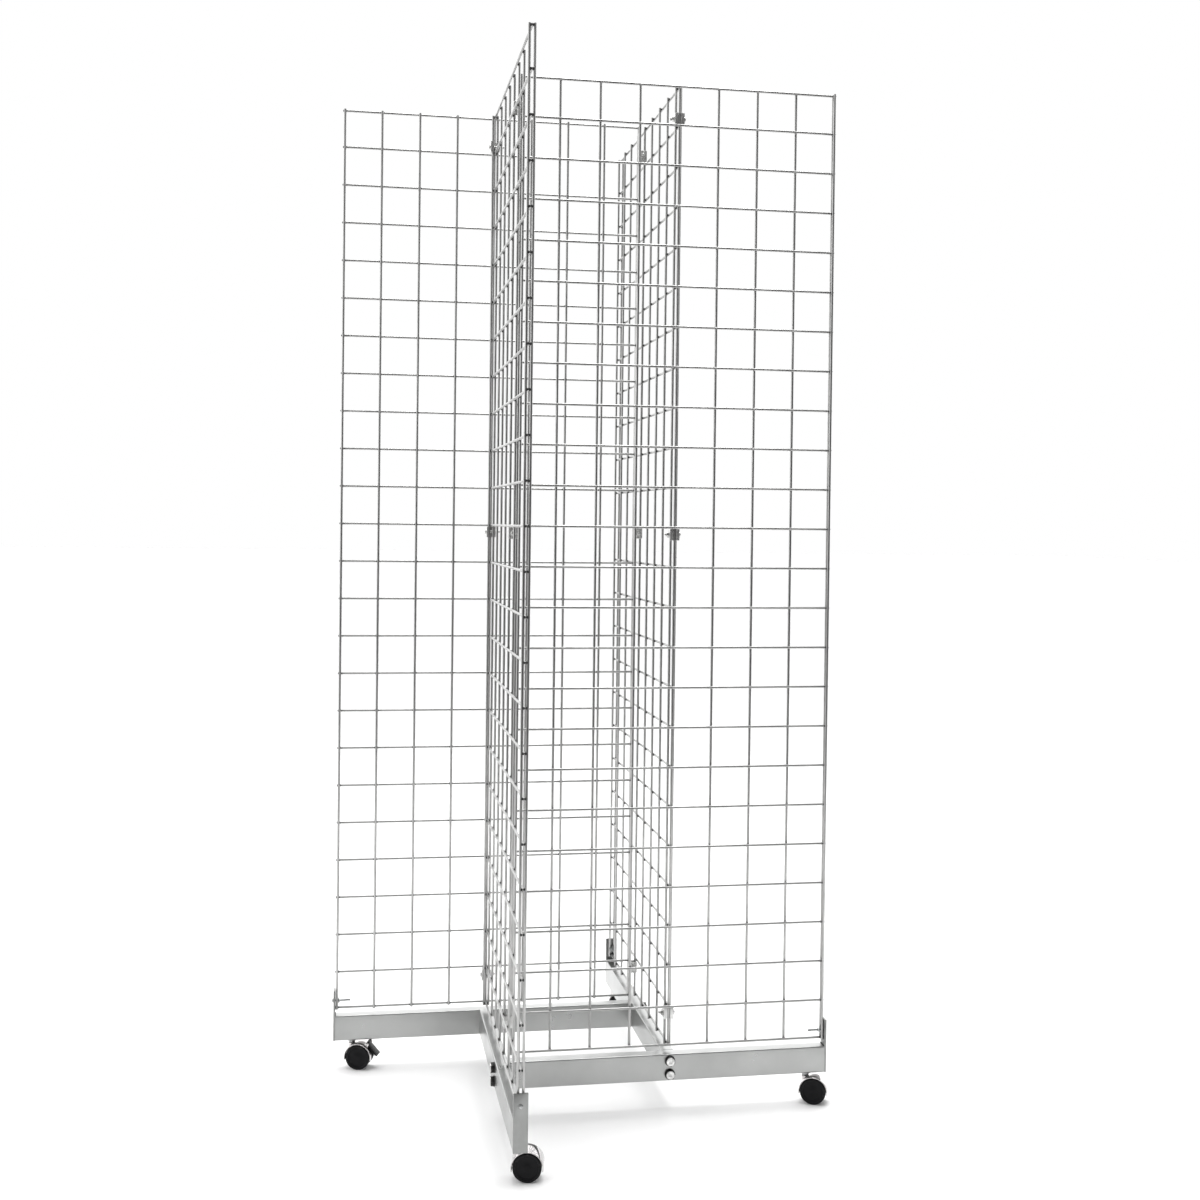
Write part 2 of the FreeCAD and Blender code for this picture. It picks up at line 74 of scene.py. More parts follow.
# a thread's ridge, as shares of its pitch: depth, cut into the core, and where its faces turn
RIDGE_DEPTH, RIDGE_FOOT, RIDGE_RISE, RIDGE_TOP, RIDGE_FALL = 0.55, 0.15, 0.42, 0.54, 0.96
RIDGE_END = 0.4      # rounding of the core's ends, as a share of the ridge's depth
# holes, as shares of the screw in them, and other shares
LOOSE_HOLE, BOLT_HOLE, FLANGE_HOLE = 1.1, 1.05, 1.02
DISH_FLAT, NECK_SHARE, ROUND_SHARE = 0.8, 0.97, 0.98
CAP_RINGS = (0.9, 0.88, 0.34, 0.30)    # the edge, the groove, the bowl and the boss
FIRST_RIB, RIB_STEP, RIB_SHARE = 0.45, 0.14, 0.8
# gaps and laps of the caster's pieces; the hood's is an angle
LIP_SHORT, STEM_CLEAR, STEM_LAP, HOOD_LAP = 0.2 * MM, 0.4 * MM, 0.5 * MM, 0.02
FACING = 0.9         # a face looks along an axis when its normal's share is above this
BOLD, SLIGHT = 60.0, 30.0    # least angles, in degrees, of the edges that are rounded
BOLT_TURNS, CLIP_NUT_TURN, STEM_TURN = (0.35, 0.9), 0.3, 0.5    # how far the hexagons are turned
# how much the edges are rounded
BOLT_EDGE, CLIP_EDGE, WASHER_EDGE, NUT_EDGE = 0.5 * MM, 0.45 * MM, 0.3 * MM, 0.35 * MM
WEB_EDGE, DISC_EDGE, SOCKET_EDGE, STEM_EDGE = 0.4 * MM, 0.8 * MM, 0.7 * MM, 0.5 * MM
THREAD_EDGE, WHEEL_EDGE, CAP_EDGE = 0.6 * MM, 0.25 * MM, 0.15 * MM


def length(name, description, default):
    """A size in metres, given in millimetres."""
    return bpy.props.FloatProperty(name=name, description=description, default=default * MM,
                                   min=0.0, precision=5, unit="LENGTH", subtype="DISTANCE")


def count(name, description, default):
    """A whole number."""
    return bpy.props.IntProperty(name=name, description=description, default=default, min=1)


def turn_angle(name, description, default):
    """An angle, given in degrees."""
    return bpy.props.FloatProperty(name=name, description=description, default=math.radians(default),
                                   unit="ROTATION", subtype="ANGLE")


def share(name, description, default):
    """A part of a whole."""
    return bpy.props.FloatProperty(name=name, description=description, default=default,
                                   min=0.0, max=1.0, subtype="FACTOR")


def colour(name, description, default):
    """A colour."""
    return bpy.props.FloatVectorProperty(name=name, description=description, default=default,
                                         size=3, min=0.0, max=1.0, subtype="COLOR")


class DISPLAY_PG_grid(bpy.types.PropertyGroup):
    """Sizes of the wire panels"""
    upright: length("Upright wire", "Diameter of the upright wires", 5.0)
    cross: length("Cross wire", "Diameter of the cross wires", 4.6)
    stub: length("Wire stub", "From the outer cross wires to the uprights' ends", 3.2)
    columns: count("Columns", "Spaces between the upright wires", 8)
    rows: count("Rows", "Spaces between the cross wires", 24)
    end_column: length("End column", "Width of the first and the last space", 74.5)
    end_row: length("End row", "Height of the first and the last space", 73.0)
    sheared: length("Sheared edge", "Rounding of the wires' cut ends", 0.7)
    # the welds are drawn large and dark: weld metal, and painted shade where the wires cross
    weld_shade_width: length("Weld width", "Half width of the metal at a weld", 4.3)
    weld_shade_depth: length("Weld depth", "Half its depth", 1.9)
    weld_shade_height: length("Weld height", "Half its height", 2.6)


class DISPLAY_PG_base(bpy.types.PropertyGroup):
    """Sizes of the base bars, end plates and bolts"""
    wall: length("Bar wall", "Wall of the rectangular tube", 1.6)
    corner: length("Bar corner", "Outside corner radius of the tube", 2.5)
    plate_corner: length("Plate corner", "Corner radius of the end plate", 1.5)
    eased: length("Eased edge", "Rounding of cut edges", 0.35)
    bead: length("Weld bead", "Half height of the weld at the end plate", 1.5)
    bead_lumps: count("Weld lumps", "Ripples along the weld", 13)
    bolt: length("Bolt", "Diameter of the bar bolts", 10.0)
    bolt_head: length("Bolt head", "Across the flats", 17.0)
    bolt_collar: length("Bolt collar", "The bright end stands out this far", 1.2)
    crown_share: share("Bolt crown", "Its bright end, as a share of the flats", 0.93)
    dish: length("Bolt dish", "Diameter of the dish in the head", 6.0)
    dish_depth: length("Dish depth", "Depth of that dish", 1.0)
    washer: length("Bolt washer", "Diameter of the bolt's washer", 20.0)
    washer_thickness: length("Washer thickness", "Thickness of that washer", 2.0)


class DISPLAY_PG_fixings(bpy.types.PropertyGroup):
    """Sizes of the clamp screws and the clips"""
    clamp: length("Clamp screw", "Diameter of the clamp screw", 4.0)
    clamp_pitch: length("Clamp screw pitch", "Pitch of its thread", 0.7)
    clamp_nut: length("Clamp nut", "Across the flats", 7.0)
    clip_sheet: length("Clip sheet", "Thickness of the clip's jaws", 2.0)
    clip_screw: length("Clip screw", "Diameter of the clip's screw", 6.0)
    clip_pitch: length("Clip screw pitch", "Pitch of its thread", 1.0)
    clip_nut: length("Clip nut", "Across the flats", 10.0)
    clip_lip: length("Clip lip", "Width of the jaw's folded lip", 3.0)
    pan_dome: share("Pan head dome", "Rounding of its edge, as a share of its height", 0.6)


class DISPLAY_PG_caster(bpy.types.PropertyGroup):
    """Sizes of the casters"""
    tread_edge: length("Tread edge", "Radius of the tread's corners", 2.0)
    rim: length("Rim", "Thickness of the wheel's rim", 4.0)
    hub: length("Hub", "Diameter of the wheel's hub", 13.0)
    bore: length("Bore", "Diameter of the wheel's bore", 6.12)
    cap_recess: length("Cap recess", "From the wheel's face to the cap", 0.8)
    cap_thickness: length("Cap thickness", "Thickness of the cap", 1.6)
    cup_floor: length("Cup floor", "Thickness of the wheel behind the cap", 2.5)
    hood_gap: length("Hood gap", "Between the tread and the hood", 1.4)
    hood_wall: length("Hood wall", "Thickness of the hood", 1.6)
    hood_drop: length("Hood drop", "From the axle down to the hood's lips", 6.0)
    hood_rolled: length("Hood edge", "Rounding of the hood's edges", 0.6)
    web: length("Web", "Thickness of the body between the wheels", 14.0)
    web_margin: length("Web margin", "From the tread to the web's lower edge", 7.0)
    socket: length("Socket", "Diameter of the stem's socket", 15.0)
    stem: length("Stem", "Diameter of the swivel pin", 8.0)
    stem_hexagon: length("Stem hexagon", "Across the flats", 12.0)
    stem_thread: length("Stem thread", "Diameter of the stem's thread", 10.0)
    lever_width: length("Lever width", "Width of the brake lever", 23.0)
    lever_barrel: length("Lever barrel", "Diameter of the brake lever's barrel", 7.0)
    lever_arm: length("Lever arm", "Thickness of the pedal and the shoe", 3.0)
    lever_play: length("Lever play", "Between the lever and the hood", 0.6)
    pedal_reach: length("Pedal reach", "From the pin out to the pedal's tip", 7.0)
    pedal_angle: turn_angle("Pedal angle", "Of the pedal's tip, above the trailing side", 6.0)
    shoe_angle: turn_angle("Shoe angle", "Of the shoe's tip, above the trailing side", 12.0)
    ear: length("Ear", "Width of the lugs that hold the lever's pin", 3.4)
    ear_height: length("Ear height", "Radius of those lugs", 4.2)
    sunk: length("Overlap", "Pieces of the body run together this far", 1.0)
    flange: length("Flange", "Diameter of the flange under the bar", 22.0)
    cap_inset: length("Cap inset", "From the tread to the cap's edge", 5.0)
    cap_groove: length("Cap groove", "Depth of the groove at the cap's edge", 0.35)
    cap_bowl: length("Cap bowl", "Depth of the cap's hollow", 0.5)
    cap_boss: length("Cap boss", "From the cap's edge down to its middle", 0.1)
    cap_gap: length("Cap gap", "Between the cap and the wheel", 0.12)
    ribs: count("Ribs", "Grip ribs on the pedal", 4)
    rib: length("Rib", "Radius of those ribs", 0.45)


class DISPLAY_PG_looks(bpy.types.PropertyGroup):
    """Colours of the finishes and the stage"""
    wire: colour("Wire plating", "Plated wire", (0.46, 0.46, 0.455))
    bar: colour("Bar plating", "Plated tube", (0.40, 0.405, 0.40))
    plate: colour("Plate plating", "Plated end plates", (0.31, 0.315, 0.31))
    chrome: colour("Chrome", "Caster hoods", (0.62, 0.60, 0.60))
    clip: colour("Clip plating", "Clips", (0.80, 0.80, 0.79))
    screw: colour("Screws", "Zinc plated screws and nuts", (0.42, 0.43, 0.43))
    # dark steel and weld metal; this dark colour also paints the shade at the wire crossings and round
    # the bar bolts' bright ends
    dark: colour("Dark steel", "Washers and burnt metal at the welds", (0.055, 0.055, 0.055))
    black: colour("Black plastic", "Wheels, caps and brake levers", (0.006, 0.006, 0.007))
    dust: colour("Dust", "Scuffs and dust on the treads", (0.11, 0.105, 0.10))
    floor: colour("Floor", "The pale floor", (0.87, 0.87, 0.87))


# --- shapes ---

def rounded(bm, edges, width, steps, clamp=False):
    """Rounds some edges."""
    bmesh.ops.bevel(bm, geom=edges, offset=width, offset_type="OFFSET", segments=steps, profile=0.5,
                    affect="EDGES", material=-1, clamp_overlap=clamp)
    return bm


def soften(bm, width, steps=2, least_angle=38.0):
    """Rounds the edges that are sharper than an angle."""
    least = math.radians(least_angle)
    edges = [e for e in bm.edges if e.is_manifold and e.calc_face_angle(0.0) > least]
    return rounded(bm, edges, width, steps, True)


def along(start, end):
    """The matrix that lays a shape made along Z, and centred, between two points."""
    turn = (end - start).to_track_quat("Z", "Y").to_matrix().to_4x4()
    return Matrix.Translation((start + end) / 2) @ turn


def rod(radius, start, end, sides=24):
    """A round bar between two points."""
    bm = bmesh.new()
    bmesh.ops.create_cone(bm, cap_ends=True, segments=sides, radius1=radius, radius2=radius,
                          depth=(end - start).length, matrix=along(start, end))
    return bm


def hexagon(across_flats, start, end, turn=0.0):
    """A hexagonal bar between two points, turned about its length."""
    bm = bmesh.new()
    reach = across_flats / math.sqrt(3)
    bmesh.ops.create_cone(bm, cap_ends=True, segments=6, radius1=reach, radius2=reach,
                          depth=(end - start).length,
                          matrix=along(start, end) @ Matrix.Rotation(turn, 4, "Z"))
    return bm


def block(low, high):
    """A box between two corners."""
    bm = bmesh.new()
    size = high - low
    bmesh.ops.create_cube(bm, size=1.0, matrix=Matrix.Translation((low + high) / 2)
                          @ Matrix.Diagonal((abs(size.x), abs(size.y), abs(size.z), 1.0)))
    return bm


def lathe(outline, steps=48, angle=math.tau):
    """An outline of (radius, height) points, turned about Z; a part turn is closed at its ends."""
    bm = bmesh.new()
    points = [bm.verts.new((radius, 0, height)) for radius, height in outline]
    edges = [bm.edges.new(pair) for pair in zip(points, points[1:] + points[:1])]
    full = abs(angle - math.tau) < SAME_ANGLE
    bmesh.ops.spin(bm, geom=points + edges, cent=ORIGIN, axis=Z_DIR, dvec=ORIGIN, angle=angle,
                   steps=steps, use_merge=full, use_normal_flip=False, use_duplicate=False)
    bmesh.ops.remove_doubles(bm, verts=bm.verts, dist=MELT)
    if not full:
        bmesh.ops.holes_fill(bm, edges=[e for e in bm.edges if e.is_boundary])
    bmesh.ops.recalc_face_normals(bm, faces=bm.faces)
    return bm


def washer_ring(inner, outer, low, high, steps=48, angle=math.tau):
    """A ring about Z, or part of one; with no hole it is a disc."""
    return lathe(((inner, low), (outer, low), (outer, high), (inner, high)), steps, angle)


def thread(major, pitch, turns, steps=14):
    """A screw thread along +Z from the origin: a helical ridge round a core."""
    bm = bmesh.new()
    depth = pitch * RIDGE_DEPTH
    inside = major - depth - pitch * RIDGE_FOOT
    outline = ((inside, 0.0), (major, pitch * RIDGE_RISE), (major, pitch * RIDGE_TOP),
               (inside, pitch * RIDGE_FALL))
    points = [bm.verts.new((radius, 0, height)) for radius, height in outline]
    edges = [bm.edges.new(pair) for pair in zip(points, points[1:] + points[:1])]
    total = int(steps * turns)
    bmesh.ops.spin(bm, geom=points + edges, cent=ORIGIN, axis=Z_DIR, dvec=(0, 0, pitch / steps),
                   angle=math.tau * total / steps, steps=total, use_merge=False,
                   use_normal_flip=False, use_duplicate=False)
    bmesh.ops.holes_fill(bm, edges=[e for e in bm.edges if e.is_boundary])
    bmesh.ops.recalc_face_normals(bm, faces=bm.faces)
    core = rod(major - depth, ORIGIN, Z_DIR * pitch * (turns + 1), steps)
    join(bm, soften(core, depth * RIDGE_END, 1))
    return bm


def join(bm, *others, material=0):
    """Adds finished shapes to a mesh, in one material, and frees them."""
    for other in others:
        for face in other.faces:
            if material:
                face.material_index = material
        piece = bpy.data.meshes.new("shape")
        other.to_mesh(piece)
        other.free()
        bm.from_mesh(piece)
        bpy.data.meshes.remove(piece)
    return bm


def placed(bm, matrix):
    """A copy of a shape, moved by a matrix."""
    copy = bm.copy()
    bmesh.ops.transform(copy, matrix=matrix, verts=copy.verts)
    return copy


def moved(bm, matrix):
    """The shape itself, moved by a matrix."""
    bmesh.ops.transform(bm, matrix=matrix, verts=bm.verts)
    return bm


def laid(place, axis):
    """The matrix that gives a shape about Z a quarter turn about an axis, and then its place."""
    return Matrix.Translation(place) @ Matrix.Rotation(QUARTER, 4, axis)


def side_turn(side):
    """The turn about Z that carries the front side to another."""
    return Matrix.Rotation(math.radians(SIDES[side]), 4, "Z")


def make_piece(name, bm, finishes, body, nodes=(), sharp=33.0):
    """Turns a shape into a piece of the display that rides on a body and stands for CAD nodes."""
    mesh = bpy.data.meshes.new(name)
    bm.to_mesh(mesh)
    bm.free()
    for polygon in mesh.polygons:
        polygon.use_smooth = True
    mesh.set_sharp_from_angle(angle=math.radians(sharp))
    for name_of_finish in finishes:
        mesh.materials.append(finish(name_of_finish))
    piece = bpy.data.objects.new(name, mesh)
    bpy.context.scene.collection.objects.link(piece)
    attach(piece, body)
    if nodes:
        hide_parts(*nodes)
    return piece


def make_fitting(name, bm, finishes, node):
    """One piece of the frame that repeats the front side's shape on the four sides."""
    whole = bmesh.new()
    for side in SIDES:
        join(whole, placed(bm, side_turn(side)))
    bm.free()
    make_piece(name, whole, finishes, "frame", [node])


def make_each_side(name, bm, finishes, node):
    """Four pieces of the frame, one for each side, from the front side's shape."""
    for side in SIDES:
        make_piece(name + side, placed(bm, side_turn(side)), finishes, "frame", [node + side])
    bm.free()


# --- finishes ---

# colour, shade of its clouds, metal, least and most roughness, scale of the clouds, scale and
# height of the grain, and specular level
FINISHES = {
    "wire_plating": ("wire", 0.85, 1.0, 0.30, 0.42, 14.0, 900.0, 0.00005, 0.5),
    # weld metal, darkened so that it also paints the shade at the wire crossings
    "burnt_weld": ("dark", 0.55, 0.3, 0.45, 0.7, 260.0, 1500.0, 0.0002, 0.2),
    "bar_plating": ("bar", 0.90, 1.0, 0.27, 0.34, 9.0, 420.0, 0.00002, 0.5),
    "plate_plating": ("plate", 0.84, 1.0, 0.28, 0.42, 18.0, 700.0, 0.00005, 0.5),
    "clip_plating": ("clip", 0.75, 0.8, 0.38, 0.5, 70.0, 1200.0, 0.00005, 0.5),
    "screw_plating": ("screw", 0.62, 1.0, 0.24, 0.42, 120.0, 1600.0, 0.00006, 0.5),
    "bright_plating": ("clip", 0.65, 1.0, 0.30, 0.42, 150.0, 1600.0, 0.00006, 0.5),
    # dark steel, which also paints the shade round the bar bolts' bright ends
    "dark_steel": ("dark", 0.6, 0.9, 0.32, 0.5, 110.0, 1400.0, 0.00006, 0.5),
    "hood_chrome": ("chrome", 0.93, 1.0, 0.05, 0.13, 45.0, 260.0, 0.00005, 0.5),
    "tread_black": ("black", 0.6, 0.0, 0.42, 0.6, 60.0, 1500.0, 0.00012, 0.2),
    "cap_black": ("black", 0.75, 0.0, 0.38, 0.5, 90.0, 2200.0, 0.00008, 0.15),
    "lever_black": ("black", 0.8, 0.0, 0.34, 0.46, 80.0, 1300.0, 0.00006, 0.15),
}
# where in the noise the clouds and the gloss begin and end
CLOUD_RANGE, GLOSS_RANGE, DUST_RANGE = (0.32, 0.62), (0.3, 0.7), (0.58, 0.78)
DUST_SCALE, MOST_DUST, GRAIN_STRENGTH = 210.0, 0.35, 0.35


def noise(tree, place, scale, detail):
    """A noise that keeps its place on the piece."""
    made = tree.nodes.new("ShaderNodeTexNoise")
    made.inputs["Scale"].default_value = scale
    made.inputs["Detail"].default_value = detail
    tree.links.new(place.outputs["Object"], made.inputs["Vector"])
    return made


def fade(tree, source, limits, least, most, smooth=False):
    """Carries a value from its limits to a least and a most."""
    made = tree.nodes.new("ShaderNodeMapRange")
    if smooth:
        made.interpolation_type = "SMOOTHSTEP"
    for name, value in zip(("From Min", "From Max", "To Min", "To Max"), (*limits, least, most)):
        made.inputs[name].default_value = value
    tree.links.new(source, made.inputs["Value"])
    return made.outputs["Result"]


def finish(name):
    """A procedural finish: cloudy colour and gloss, and a fine grain in the surface."""
    made = bpy.data.materials.get(name)
    if made:
        return made
    paint, shade, metal, smooth, rough, cloud, grain, bump, gleam = FINISHES[name]
    tint = getattr(bpy.context.scene.display_looks, paint)
    made = bpy.data.materials.new(name)
    made.use_nodes = True
    tree = made.node_tree
    nodes, links = tree.nodes, tree.links
    shader = nodes["Principled BSDF"]
    shader.inputs["Metallic"].default_value = metal
    shader.inputs["Specular IOR Level"].default_value = gleam
    place = nodes.new("ShaderNodeTexCoord")
    clouds = noise(tree, place, cloud, 4.0)
    clouds.inputs["Roughness"].default_value = 0.6
    ramp = nodes.new("ShaderNodeValToRGB")
    for stop, position, strength in zip(ramp.color_ramp.elements, CLOUD_RANGE, (shade, 1.0)):
        stop.position = position
        stop.color = (*[c * strength for c in tint], 1.0)
    links.new(clouds.outputs["Fac"], ramp.inputs["Fac"])
    links.new(ramp.outputs["Color"], shader.inputs["Base Color"])
    links.new(fade(tree, clouds.outputs["Fac"], GLOSS_RANGE, rough, smooth),
              shader.inputs["Roughness"])
    relief = nodes.new("ShaderNodeBump")
    relief.inputs["Strength"].default_value = GRAIN_STRENGTH
    relief.inputs["Distance"].default_value = bump
    links.new(noise(tree, place, grain, 2.0).outputs["Fac"], relief.inputs["Height"])
    links.new(relief.outputs["Normal"], shader.inputs["Normal"])
    if name == "tread_black":
        dusted(tree, place, ramp, shader)
    return made


def dusted(tree, place, ramp, shader):
    """Puts dust in the scuffs of the black tyre."""
    scuffs = noise(tree, place, DUST_SCALE, 6.0)
    mix = tree.nodes.new("ShaderNodeMixRGB")
    mix.inputs["Color2"].default_value = (*bpy.context.scene.display_looks.dust, 1.0)
    tree.links.new(fade(tree, scuffs.outputs["Fac"], DUST_RANGE, 0.0, MOST_DUST), mix.inputs["Fac"])
    tree.links.new(ramp.outputs["Color"], mix.inputs["Color1"])
    tree.links.new(mix.outputs["Color"], shader.inputs["Base Color"])


# --- pieces ---

def spaced(low, high, end, spaces):
    """Places from low to high in equal steps, but for the end spaces."""
    pitch = (high - low - 2 * end) / (spaces - 2)
    return [low] + [low + end + pitch * i for i in range(spaces - 1)] + [high]


def grid_places():
    """The front panel's wire places: x of the uprights, heights of the rows, and three depths."""
    grid = bpy.context.scene.display_grid
    half = grid.upright / 2
    xs = spaced(PANEL_LOW.x + half, PANEL_HIGH.x - half, grid.end_column, grid.columns)
    zs = spaced(PANEL_LOW.z + grid.stub, PANEL_HIGH.z - grid.stub, grid.end_row, grid.rows)
    upright_y, second_y = PANEL_HIGH.y - half, PANEL_LOW.y + half
    return xs, zs, upright_y, (upright_y + second_y) / 2, second_y


class DISPLAY_OT_panels(bpy.types.Operator):
    """Makes the four wire panels with dark welds at their crossings, which also paint the shade where the
    wires cross
    """
    bl_idname = "display.panels"
    bl_label = "Wire Panels"

    def execute(self, context):
        grid = context.scene.display_grid
        xs, zs, upright_y, cross_y, second_y = grid_places()
        panel = bmesh.new()
        uprights = [(x, upright_y) for x in xs] + [(xs[0], second_y), (xs[-1], second_y)]
        for x, y in uprights:
            wire = rod(grid.upright / 2, Vector((x, y, PANEL_LOW.z)),
                       Vector((x, y, PANEL_HIGH.z)), 20)
            join(panel, soften(wire, grid.sheared))
        for z in zs:
            wire = rod(grid.cross / 2, Vector((PANEL_LOW.x, cross_y, z)),
                       Vector((PANEL_HIGH.x, cross_y, z)), 20)
            join(panel, soften(wire, grid.sheared))
        # dark lumps at every crossing: the welds, and painted shade where the wires cross
        weld_and_shade_lump = bmesh.new()
        squeezed = Matrix.Diagonal((grid.weld_shade_width, grid.weld_shade_depth, grid.weld_shade_height, 1.0))
        bmesh.ops.create_uvsphere(weld_and_shade_lump, u_segments=8, v_segments=4, radius=1.0, matrix=squeezed)
        for x, y in uprights:
            depth = cross_y + (grid.cross / 2 if y > cross_y else -grid.cross / 2)
            for z in zs:
                join(panel, placed(weld_and_shade_lump, Matrix.Translation((x, depth, z))), material=1)
        weld_and_shade_lump.free()
        make_each_side("wire_panel_", panel, ("wire_plating", "burnt_weld"),
                       "grid_panel_")
        return {"FINISHED"}


class DISPLAY_OT_bars(bpy.types.Operator):
    """Makes the four base bars as open rectangular tubes"""
    bl_idname = "display.bars"
    bl_label = "Base Bars"

    def execute(self, context):
        base = context.scene.display_base
        tube = block(BAR_LOW, BAR_HIGH)
        long_edges = [e for e in tube.edges if abs((e.verts[0].co - e.verts[1].co).x) > BAR_HIGH.z]
        rounded(tube, long_edges, base.corner, 7)
        ends = [f for f in tube.faces if abs(f.normal.x) > FACING]
        bmesh.ops.inset_region(tube, faces=ends, thickness=base.wall, use_even_offset=True)
        inner = [f for f in tube.faces if f in ends]
        loops = [e for f in inner for e in f.edges]
        bmesh.ops.delete(tube, geom=inner, context="FACES_ONLY")
        bmesh.ops.bridge_loops(tube, edges=loops)
        bmesh.ops.recalc_face_normals(tube, faces=tube.faces)
        make_each_side("bar_tube_", tube, ("bar_plating",), "base_bar_")
        return {"FINISHED"}


class DISPLAY_OT_plates(bpy.types.Operator):
    """Makes the four end plates and the welds that hold them on the bars"""
    bl_idname = "display.plates"
    bl_label = "End Plates"

    def execute(self, context):
        base = context.scene.display_base
        plate = block(PLATE_LOW, PLATE_HIGH)
        across = [e for e in plate.edges if abs((e.verts[0].co - e.verts[1].co).x) > base.eased]
        rounded(plate, across, base.plate_corner, 5)
        soften(plate, base.eased, 2, BOLD)
        lump = bmesh.new()
        bmesh.ops.create_uvsphere(lump, u_segments=12, v_segments=8, radius=base.bead)
        inset = base.corner + base.bead / 2
        start, end = BAR_LOW.y + inset, BAR_HIGH.y - inset
        for i in range(base.bead_lumps):
            y = start + (end - start) * i / (base.bead_lumps - 1)
            place = Matrix.Translation((PLATE_LOW.x, y, BAR_HIGH.z))
            join(plate, placed(lump, place), material=1)
        lump.free()
        make_each_side("foot_plate_", plate, ("plate_plating", "burnt_weld"),
                       "end_plate_")
        return {"FINISHED"}


def box_of(points):
    """The lowest and the highest corner of some points."""
    return (Vector([min(p[i] for p in points) for i in range(3)]),
            Vector([max(p[i] for p in points) for i in range(3)]))


def solid_box(node, is_near):
    """The box of those of a grouped node's vertices that pass a test."""
    return box_of([v.co for v in frame["nodes"][node].data.vertices if is_near(v.co)])


def at_front_plate(point):
    """Whether a point is by the front bar's end plate."""
    return (point.x > PANEL_HIGH.x - NEAR_EDGE
            and abs(point.y - (BAR_LOW.y + BAR_HIGH.y) / 2) < NEAR_BAR)


def at_front_joint(point):
    """Whether a point is by the bolts through the front bar."""
    return abs(point.x - (BAR_HIGH.y + BAR_LOW.y) / -2) < NEAR_BAR and point.y < OUTER_HALF


def pan_head(radius, seat, end, share_of_height):
    """A round head with a domed rim, from its seat to its end."""
    head = rod(radius, seat, end, 32)
    rim = [e for e in head.edges
           if all((v.co - end).length < (v.co - seat).length for v in e.verts)]
    return rounded(head, rim, (end - seat).length * share_of_height, 5)


class DISPLAY_OT_clamps(bpy.types.Operator):
    """Makes the clamp screws at the panels' outer edges, with their washers and nuts"""
    bl_idname = "display.clamps"
    bl_label = "Clamp Screws"

    def execute(self, context):
        fixings = context.scene.display_fixings
        low, high = solid_box("clamp_screws", at_front_plate)
        y, z = (low.y + high.y) / 2, (low.z + high.z) / 2
        face = PLATE_HIGH.x
        radius = fixings.clamp / 2
        turns = int((face - low.x) / fixings.clamp_pitch) - 1
        screw = moved(thread(radius, fixings.clamp_pitch, turns), laid((low.x, y, z), "Y"))
        join(screw, pan_head((high.z - low.z) / 2, Vector((face, y, z)), Vector((high.x, y, z)),
                             fixings.pan_dome))
        make_fitting("clamp_thread_screws", screw, ("screw_plating",), "clamp_screws")
        low, high = solid_box("clamp_washers", at_front_plate)
        outer, inner = (high.z - low.z) / 2, radius * LOOSE_HOLE
        washer = washer_ring(inner, outer, low.x, high.x)
        washer = moved(soften(washer, WASHER_EDGE), laid((0, y, z), "Y"))
        make_fitting("clamp_flat_washers", washer, ("screw_plating",), "clamp_washers")
        low, high = solid_box("clamp_nuts", at_front_plate)
        nut = hexagon(fixings.clamp_nut, Vector((low.x, y, z)), Vector((high.x, y, z)))
        make_fitting("clamp_hex_nuts", soften(nut, NUT_EDGE), ("screw_plating",),
                     "clamp_nuts")
        return {"FINISHED"}


class DISPLAY_OT_bolts(bpy.types.Operator):
    """Makes the hex bolts and washers where the bars meet"""
    bl_idname = "display.bolts"
    bl_label = "Bar Bolts"

    def execute(self, context):
        base = context.scene.display_base
        low, high = solid_box("bar_bolt_washers", at_front_joint)
        x = (low.x + high.x) / 2
        heights = (low.z + base.washer / 2, high.z - base.washer / 2)
        head_end, tip = (corner.y for corner in solid_box("bar_bolts", at_front_joint))
        washers = bmesh.new()
        bolts = bmesh.new()
        for z, turn in zip(heights, BOLT_TURNS):
            # the washer and the hexagon are dark steel, and also painted shade round the bolt's bright
            # end
            ring = washer_ring(base.bolt / 2 * BOLT_HOLE, base.washer / 2, 0, base.washer_thickness)
            join(washers, moved(soften(ring, BOLT_EDGE, 3), laid((x, high.y, z), "X")))
            seat = Vector((x, low.y, z))
            head = hexagon(base.bolt_head, Vector((x, head_end + base.bolt_collar, z)), seat, turn)
            join(bolts, soften(head, BOLT_EDGE, 2), material=1)
            join(bolts, self.crown(base, Vector((x, head_end, z)), seat),
                 rod(base.bolt / 2, seat, Vector((x, tip, z))))
        make_fitting("bar_hex_bolts", bolts, ("bright_plating", "dark_steel"),
                     "bar_bolts")
        make_fitting("bar_dark_washers", washers, ("dark_steel",), "bar_bolt_washers")
        return {"FINISHED"}

    @staticmethod
    def crown(base, end, seat):
        """The bright end of a bolt's head, with a shallow forged dish."""
        height = seat.y - end.y
        rim, dish = base.bolt_head * base.crown_share / 2, base.dish / 2
        shape = lathe(((0.0, 0.0), (rim, 0.0), (rim, height), (dish, height),
                       (dish * DISH_FLAT, height - base.dish_depth), (0.0, height - base.dish_depth)), 40)
        return moved(soften(shape, base.eased, 3), laid(seat, "X"))


def islands(node):
    """The boxes of a grouped node's separate solids, found by joining its triangles."""
    bm = bmesh.new()
    bm.from_mesh(frame["nodes"][node].data)
    bmesh.ops.remove_doubles(bm, verts=bm.verts, dist=SAME_PLACE)
    bm.verts.ensure_lookup_table()
    seen = set()
    boxes = []
    for start in bm.verts:
        if start.index in seen:
            continue
        seen.add(start.index)
        group, front = [start], [start]
        while front:
            for edge in front.pop().link_edges:
                for vert in edge.verts:
                    if vert.index not in seen:
                        seen.add(vert.index)
                        group.append(vert)
                        front.append(vert)
        boxes.append(box_of([v.co.copy() for v in group]))
    bm.free()
    return boxes


